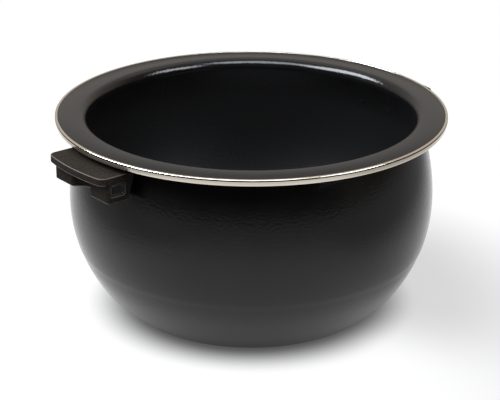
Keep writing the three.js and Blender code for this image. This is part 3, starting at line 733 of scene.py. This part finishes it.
# %% Make the blocks and the plates
for node, width, material, slot_name, title in (
        ("grip_core", 0.25, core_plastic, "core_plastic", "core_moulded"),
        ("anchor_plate", 0.3, zinc, "zinc_steel", "anchor_plate_bent")):
    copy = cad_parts[f"right_{node}"].data.copy()
    mesh = finished(rounded(copy, width, segments=2, clamp=True), material)
    for grip, turn in GRIP_TURNS.items():
        placed(f"{grip}_{title}", mesh, turn, "bowl", f"{grip}_{node}")
    print(node, len(mesh.polygons), "faces")

# %% [markdown]
# A release button is a pad in the window of the grip's end, dished for a fingertip, with a hooked
# arm behind it whose tooth locks under the steel plate.

# %% Make the buttons
BUTTON_ROUND = 0.3
button_low, button_high = corners("right_release_button_back")
PAD_GAP, PAD_FACE = 0.4, button_high.y
PAD_HALF, PAD_CORNER = WINDOW[1] / 2 - PAD_GAP, WINDOW[2] - PAD_GAP
PAD_BACK, PAD_FRONT = WINDOW_FRONT - WINDOW[0] + PAD_GAP, WINDOW_FRONT - PAD_GAP
DISH_DEPTH, DISH_MARGIN, DISH_BEND, DISH_STEPS, LEAST_CORNER = 1.0, 0.55, 1.6, 8, 0.25
DISH_ROUND_SHARE = 0.4
SHOULDER, SHOULDER_SIDE = 1.0, 0.4
SHOULDER_OUT = END_INSIDE - FIT
SHOULDER_IN = SHOULDER_OUT - SHOULDER
HOOK_BACK, HOOK_IN, HOOK = button_low.x, button_low.y, 3.0
HOOK_OUT = HOOK_IN + HOOK
ARM_BACK, ARM, ARM_HALF, ARM_JOIN = HOOK_BACK + 4.8, 4.0, 2.0, 0.5
ARM_FRONT = ARM_BACK + ARM
TOOTH, TOOTH_HALF, TOOTH_JOIN, TOOTH_REACH = (0.4, 3.0), 1.3, 1.0, 2.0


def bar(x, y, half):
    """A bar of the button from one x and y to another, as high as half says to both sides."""
    return box((x[0], y[0], WINDOW_Z - half), (x[1], y[1], WINDOW_Z + half))


pad = prism(slot_outline((PAD_BACK, WINDOW_Z - PAD_HALF), (PAD_FRONT, WINDOW_Z + PAD_HALF),
                         PAD_CORNER), SHOULDER_IN, PAD_FACE, axis="Y")
shoulder = bar((PAD_BACK - PAD_GAP - SHOULDER_SIDE, PAD_FRONT + SHOULDER_SIDE),
               (SHOULDER_IN, SHOULDER_OUT), PAD_HALF)
arm = bar((ARM_BACK, ARM_FRONT), (HOOK_IN, SHOULDER_IN + ARM_JOIN), ARM_HALF)
hook = bar((HOOK_BACK, ARM_FRONT), (HOOK_IN, HOOK_OUT), ARM_HALF)
tooth = bar([HOOK_BACK + x for x in TOOTH], (HOOK_OUT - TOOTH_JOIN, HOOK_OUT + TOOTH_REACH), TOOTH_HALF)
dish_steps = []
for i in range(DISH_STEPS + 1):
    sweep = radians(90 * i / DISH_STEPS)
    bend = DISH_BEND * (1 - cos(sweep))
    inset = DISH_MARGIN + bend
    corner = max(LEAST_CORNER, PAD_CORNER - DISH_MARGIN / 2 - bend / 2)
    dish_steps.append((slot_outline((PAD_BACK + inset, WINDOW_Z - PAD_HALF + inset),
                                    (PAD_FRONT - inset, WINDOW_Z + PAD_HALF - inset), corner),
                       PAD_FACE - DISH_DEPTH * sin(sweep)))
dish = lofted([(dish_steps[0][0], PAD_FACE + PAST)] + dish_steps, "Y")
button_mesh = carve(carve(pad, [("DIFFERENCE", [dish])]),
                    [("UNION", [part]) for part in (shoulder, arm, hook, tooth)])


def pad_edge(a, b):
    """The pad's outer edge is rounded fully, its dish's edge less, and what is behind it not."""
    if min(a.y, b.y) < PAD_FACE - SAME:
        return 0.0
    middle = (a + b) / 2
    in_dish = (PAD_BACK + BUTTON_ROUND < middle.x < PAD_FRONT - BUTTON_ROUND
               and abs(middle.z - WINDOW_Z) < PAD_HALF - BUTTON_ROUND)
    return DISH_ROUND_SHARE if in_dish else 1.0


button_mesh = finished(rounded(button_mesh, BUTTON_ROUND, pad_edge), button_plastic)
BUTTON_TURNS = {
    ("right", "back"): Matrix.Identity(4), ("right", "front"): FLIP,
    ("left", "front"): HALF_TURN, ("left", "back"): HALF_TURN @ FLIP,
}
for (grip, end), turn in BUTTON_TURNS.items():
    placed(f"{grip}_{end}_button_moulded", button_mesh, turn, f"{grip}_{end}_button",
           f"{grip}_release_button_{end}")
print("Button:", len(button_mesh.polygons), "faces")

# %% [markdown]
# Screws repeat, so Geometry Nodes place them: one screw is made as a mesh, and the tree puts it on
# every point of a small mesh of places, turned to face the way that each point names.

# %% A tree that puts a screw on every place
scatter, scatter_in = new_tree("screws_on_places", {"Screw": "Object"})
way = add_node(scatter, "GeometryNodeInputNamedAttribute", {"Name": "way"},
               data_type="FLOAT_VECTOR").outputs["Attribute"]
turn_to = add_node(scatter, "FunctionNodeAlignRotationToVector", {"Factor": 1.0}, {"Vector": way},
                   axis="Z")
screw_shape = add_node(scatter, "GeometryNodeObjectInfo", {"As Instance": True},
                       {"Object": scatter_in["Screw"]}, transform_space="ORIGINAL")
spots = add_node(scatter, "GeometryNodeMeshToPoints", links={"Mesh": scatter_in["Geometry"]})
on_spots = add_node(scatter, "GeometryNodeInstanceOnPoints",
                    links={"Points": spots, "Instance": screw_shape.outputs["Geometry"],
                           "Rotation": turn_to})
end_tree(scatter, on_spots, scatter_in["Material"])

# %% [markdown]
# A screw is turned from a profile with ridges for its thread, and has a six-lobed drive recess.
# Countersunk ones hold the steel plate to the bosses, and pan heads hold the cover from below.

# %% Make the screws
SCREW_SEGMENTS = 48
PITCH_MM, THREAD_CUT, THREAD_END, POINT_CUT = 0.8, 0.12, 0.2, 0.4
THREAD_SHARES = (0.35, 0.6, 0.75)  # of the pitch: where a crest ends, and where a root starts and ends
DRIVE_RADIUS, DRIVE_DEPTH, DRIVE_PAST = 1.25, 0.8, 0.5
LOBES, LOBE_STEPS, LOBE_SHARE = 6, 8, 0.22
ANCHOR_HEAD, ANCHOR_THREAD, ANCHOR_END, HEAD_CUT = 1.2, -1.5, -6.4, (0.12, 0.1)
COVER_HEAD, COVER_SHAFT, COVER_THREAD, COVER_END = 1.7, 1.4, -2.2, -14.6
PAN_TOP = [(2.0, 0.0), (2.4, -0.12), (2.62, -0.4), (HEAD_RADIUS, -0.7)]
PLATE_STEEL = 2.0  # thickness of the steel plate


def star():
    """The six-lobed outline of a drive recess."""
    points = []
    for i in range(LOBES * LOBE_STEPS):
        angle = 2 * pi * i / (LOBES * LOBE_STEPS)
        reach = DRIVE_RADIUS * (1 - LOBE_SHARE * (0.5 - 0.5 * cos(LOBES * angle)))
        points.append((reach * cos(angle), reach * sin(angle)))
    return points


def threaded(radius, start, stop):
    """Points down a shaft with the ridges of a thread, drawn as rings."""
    points, z, root = [], start, radius - THREAD_CUT
    crest, root_start, root_end = (PITCH_MM * share for share in THREAD_SHARES)
    while z - PITCH_MM > stop:
        points += [(radius, z), (radius, z - crest), (root, z - root_start), (root, z - root_end)]
        z -= PITCH_MM
    return points + [(root, stop + THREAD_END), (radius - POINT_CUT, stop), (0.0, stop)]


countersunk = [(0.0, 0.0), (HEAD_RADIUS - HEAD_CUT[0], 0.0), (HEAD_RADIUS, -HEAD_CUT[1]),
               (SCREW_RADIUS, -ANCHOR_HEAD)] + threaded(SCREW_RADIUS, ANCHOR_THREAD, ANCHOR_END)
panhead = ([(0.0, 0.0)] + PAN_TOP + [(HEAD_RADIUS, -COVER_HEAD), (COVER_SHAFT, -COVER_HEAD)]
           + threaded(COVER_SHAFT, COVER_THREAD, COVER_END))
ENDS = [(side, end) for side in (1, -1) for end in (1, -1)]
for kind, profile, (x, y, z), faces_out in (
        ("anchor", countersunk, (plate_low.x + PLATE_STEEL, SCREW_Y, SCREW_LEVEL), True),
        ("cover", panhead, COVER_SCREW, False)):
    blank = turned("screw", profile, False, SCREW_SEGMENTS, zinc)
    drive = prism(star(), -DRIVE_DEPTH, DRIVE_PAST)
    shape = show("screw_shape", outward(carve(blank, [("DIFFERENCE", [drive])])))
    places = bpy.data.meshes.new("places")
    places.from_pydata([(side * x * MM, end * y * MM, z * MM) for side, end in ENDS], [], [])
    ways = [(side, 0, 0) if faces_out else (0, 0, -1) for side, end in ENDS]
    places.attributes.new("way", "FLOAT_VECTOR", "POINT").data.foreach_set(
        "vector", [value for one in ways for value in one])
    made = grown("screws", places, scatter, {"Screw": shape, "Material": zinc})
    bpy.data.objects.remove(shape)
    screws = show(f"{kind}_screws_driven", kept_sharp(made))
    nodes = [f"{grip}_{kind}_screw_{end}" for grip in ("left", "right") for end in ("front", "back")]
    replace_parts(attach(screws, "bowl"), *nodes)
    print(kind, "screws:", len(made.polygons), "faces")

# %% [markdown]
# Each button has a coil spring of four turns behind its hook. A spring follows a rule, so a tree
# winds it: a spiral curve with a round wire swept along it.

# %% A tree that winds a spring, and the four springs
WIRE, COIL, TURNS, TRAVEL = 0.25, 1.5, 4.0, 2.5
TURN_STEPS, WIRE_SIDES, SPRING_SHARP = 28, 10, 60
winder, winder_in = new_tree("wound_spring", {
    "Turns": "Float", "Coil Radius": "Float", "Length": "Float", "Wire Radius": "Float"})
spiral = add_node(winder, "GeometryNodeCurveSpiral", {"Resolution": TURN_STEPS},
                  {"Rotations": winder_in["Turns"], "Start Radius": winder_in["Coil Radius"],
                   "End Radius": winder_in["Coil Radius"], "Height": winder_in["Length"]})
wire = add_node(winder, "GeometryNodeCurvePrimitiveCircle", {"Resolution": WIRE_SIDES},
                {"Radius": winder_in["Wire Radius"]})
coil = add_node(winder, "GeometryNodeCurveToMesh", {"Fill Caps": True},
                {"Curve": spiral, "Profile Curve": wire})
end_tree(winder, coil, winder_in["Material"])
spring_low, spring_high = corners("right_button_spring_back")
spring_mesh = grown("spring", bpy.data.meshes.new("nothing"), winder, {
    "Turns": TURNS, "Material": zinc, "Length": (spring_high.y - spring_low.y - 2 * WIRE) * MM,
    "Coil Radius": COIL * MM, "Wire Radius": WIRE * MM})
spring_start = Vector(((ARM_BACK + ARM_FRONT) / 2, spring_low.y + WIRE, WINDOW_Z)) * MM
spring_mesh.transform(Matrix.Translation(spring_start) @ Matrix.Rotation(-pi / 2, 4, "X"))
outward(spring_mesh, SPRING_SHARP)
for (grip, end), turn in BUTTON_TURNS.items():
    node = f"{grip}_button_spring_{end}"
    spring = placed(f"{grip}_{end}_spring_wound", spring_mesh, turn, "bowl", node)
    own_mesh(spring)

# %% [markdown]
# The picture is a plain studio shot on a light table, in a dark room: a pale sheet that glows by
# itself. A black bowl shows what it mirrors more than its own colour, and it mirrors the sheet from
# its belly down. The sheet's light is painted: strong near the bowl and weaker far off, with a
# painted shadow on the side that the bowl shades and a painted contact shadow at its foot, while
# hardly any cast shadow lies under the bowl. A pale stretch behind the bowl is the background.

# %% The light table
CAMERA_AZIMUTH = -38.95
FLOOR_SIZE, FLOOR_DROP = 12.0, 0.0002  # metres
PAINTED_SHADOW_TURN = 105  # degrees from the camera's side to the right: the side of the bowl's painted shadow
SHEET_REACH = 1.23  # metres in front of the bowl at which the pale stretch comes to a point
GLOW, GLOW_BASE, LEAST_GLOW, GLOW_START, GLOW_LENGTH = 0.8, 0.06, 0.3, 0.2, 0.45
PALE = 0.95
azimuth = radians(CAMERA_AZIMUTH)
ahead = Vector((-sin(azimuth), cos(azimuth), 0))
rightward = Vector((ahead.y, -ahead.x, 0))


def around(turn):
    """A level direction, in degrees from the camera's side to the right."""
    return -cos(radians(turn)) * ahead + sin(radians(turn)) * rightward


def faded(tree, source, *fade):
    """A smooth change of a source: between two places, from one value to another."""
    return add_node(tree, "ShaderNodeMapRange", dict(enumerate(fade, 1)), {0: source},
                    interpolation_type="SMOOTHSTEP")


def along(tree, direction, vector):
    """How far a vector reaches along a direction."""
    return add_node(tree, "ShaderNodeVectorMath", {1: tuple(direction)}, {0: vector},
                    operation="DOT_PRODUCT").outputs["Value"]


def worked(tree, operation, *terms):
    """A Math node's result. A term is a number or another node's output."""
    numbers = {i: term for i, term in enumerate(terms) if isinstance(term, (int, float))}
    return add_node(tree, "ShaderNodeMath", numbers,
                    {i: term for i, term in enumerate(terms) if i not in numbers},
                    operation=operation)


def dimmed(tree, value, *fades):
    """A value, multiplied by each of the fades."""
    for fade in fades:
        value = worked(tree, "MULTIPLY", value, faded(tree, *fade))
    return value


work = bmesh.new()
bmesh.ops.create_grid(work, x_segments=1, y_segments=1, size=FLOOR_SIZE / 2)
floor = show("floor", as_mesh(work, "floor"))
floor.location.z = -FLOOR_DROP
# The sheet's emission, set below, is painted light with painted shadows in it.
table = bpy.data.materials.new("glowing_table_with_painted_shade")
table.use_nodes = True
sheet = table.node_tree
shine = sheet.nodes["Principled BSDF"]
for socket, value in (("Base Color", linear("#303030")), ("Roughness", 0.9),
                      ("Specular IOR Level", 0.0), ("Emission Color", linear("#ffffff"))):
    shine.inputs[socket].default_value = value
spot = add_node(sheet, "ShaderNodeTexCoord").outputs["Object"]
across, away = along(sheet, rightward, spot), along(sheet, ahead, spot)
reach = add_node(sheet, "ShaderNodeVectorMath", links={0: spot}, operation="LENGTH").outputs["Value"]
toward = add_node(sheet, "ShaderNodeVectorMath", links={0: spot}, operation="NORMALIZE")
toward_painted_shadow = along(sheet, around(PAINTED_SHADOW_TURN), toward)
slant = worked(sheet, "DIVIDE", across, worked(sheet, "ADD", away, SHEET_REACH))
# The painted pool of light that the bowl mirrors: less far off and at the left, with a painted
# shadow on the side that the bowl shades and a painted contact shadow at the foot.
fall = worked(sheet, "EXPONENT", worked(sheet, "MULTIPLY_ADD", reach, -1 / GLOW_LENGTH,
                                        GLOW_START / GLOW_LENGTH))
painted_glow = dimmed(sheet, worked(sheet, "MULTIPLY_ADD", fall, GLOW, GLOW_BASE),
              (toward_painted_shadow, 0.3, 1.05, 1.0, 0.07), (across, -0.45, -0.18, 0.2, 1.0))
painted_glow = dimmed(sheet, worked(sheet, "MAXIMUM", painted_glow, LEAST_GLOW), (reach, 0.078, 0.128, 0.06, 1.0))
# The pale stretch, with a faint painted shadow of the bowl and a painted contact shadow on it,
# and where it lies.
painted_shade = dimmed(sheet, faded(sheet, toward_painted_shadow, 0.5, 0.95, 0.0, 0.3), (reach, 0.13, 0.24, 1.0, 0.0))
pale = dimmed(sheet, worked(sheet, "SUBTRACT", PALE, painted_shade), (reach, 0.078, 0.115, 0.1, 1.0))
stretch = dimmed(sheet, faded(sheet, away, -0.4, 0.0, 0.0, 1.0),
                 (slant, -0.35, -0.12, 0.0, 1.0), (slant, 0.12, 0.35, 1.0, 0.0))
strength = add_node(sheet, "ShaderNodeMix", links={0: stretch, 2: painted_glow, 3: pale})
link(sheet, strength, shine.inputs["Emission Strength"])
floor.data.materials.append(table)
print("Light table:", len(sheet.nodes), "nodes")

# %% [markdown]
# Three large soft boxes light the top of the rim and of the grips. They are aimed at the bowl's
# middle, and as large as real ones, so that their reflections have soft ends.

# %% Three soft boxes
AIM = Vector((0, 0, 0.1))
BOX_COLOUR = "#f2f6ff"
for name, turn, rise, distance, size, watts in (  # degrees to the right and up, metres
        ("front_box", -5, 63, 1.7, (1.4, 0.9), 36),
        ("left_box", -82, 46, 1.6, (1.5, 0.8), 75),
        ("right_box", 62, 36, 1.6, (0.9, 0.7), 22)):
    light = bpy.data.lights.new(name, "AREA")
    light.shape = "RECTANGLE"
    light.size, light.size_y = size
    light.energy = watts
    light.color = linear(BOX_COLOUR)[:3]
    thing = show(name, light)
    thing.location = distance * (cos(radians(rise)) * around(turn)
                                 + Vector((0, 0, sin(radians(rise)))))
    thing.rotation_mode = "QUATERNION"
    thing.rotation_quaternion = (AIM - thing.location).to_track_quat("-Z", "Y")
    print(name, watts, "W from", [round(v, 2) for v in thing.location])

# %% [markdown]
# The room is dark, apart from a pale wall behind the bowl, a pale ceiling, a bright stand at the far
# left and a dim one at the right, which the ring mirrors. Towards the right it is a little warmer.

# %% The room
studio = bpy.data.worlds.new("studio")
bpy.context.scene.world = studio
studio.use_nodes = True
air = studio.node_tree
gaze = add_node(air, "ShaderNodeTexCoord").outputs["Generated"]
upward = add_node(air, "ShaderNodeSeparateXYZ", links={0: gaze}).outputs["Z"]
behind, sideways = along(air, ahead, gaze), along(air, rightward, gaze)
field = dimmed(air, faded(air, behind, 0.0, 0.5, 0.0, 1.0), (upward, 0.0, 0.3, 0.12, 0.5))
for fade in ((sideways, -0.995, -0.955, 0.5, 0.04),  # the bright stand
             (sideways, 0.75, 0.95, 0.0, 0.12),  # the dim one
             (upward, 0.6, 0.85, 0.0, 0.5)):  # the ceiling
    field = worked(air, "ADD", field, faded(air, *fade))
tint = add_node(air, "ShaderNodeMix", {6: linear("#fff7f0"), 7: linear("#fde6cc")},
                {0: faded(air, sideways, 0.2, 0.7, 0.0, 1.0)}, data_type="RGBA").outputs[2]
link(air, field, air.nodes["Background"].inputs["Strength"])
link(air, tint, air.nodes["Background"].inputs["Color"])
bpy.context.scene.view_settings.view_transform = "Standard"
print("Room:", len(air.nodes), "nodes")

# %% [markdown]
# The camera stands where the photograph's stood. It was found from the rim's ellipse, whose shape
# gives the camera's height, and the difference between its near and far half the distance.

# %% Camera
IMAGE_WIDTH, FOCAL_PIXELS, SENSOR = 500, 1659.0, 36.0
DISTANCE, HEIGHT_ANGLE = 1.088, 19.07  # metres from the rim's middle, and degrees above it
PITCH, YAW, ROLL = 22.22, 0.04, -0.2  # degrees
camera = show("camera", bpy.data.cameras.new("camera"))
camera.data.sensor_width = SENSOR
camera.data.lens = FOCAL_PIXELS / IMAGE_WIDTH * SENSOR
up, pitch = radians(HEIGHT_ANGLE), radians(PITCH)
camera.location = (Vector((0, 0, HEIGHT * MM)) - DISTANCE * cos(up) * ahead
                   + Vector((0, 0, DISTANCE * sin(up))))
look = cos(pitch) * ahead + Vector((0, 0, -sin(pitch)))
look.rotate(Matrix.Rotation(radians(YAW), 4, "Z"))
camera.rotation_mode = "QUATERNION"
camera.rotation_quaternion = (Matrix.Rotation(radians(ROLL), 4, look).to_quaternion()
                              @ look.to_track_quat("-Z", "Y"))
bpy.context.scene.camera = camera
print("Camera", DISTANCE, "m from the rim's middle, lens", round(camera.data.lens, 1))
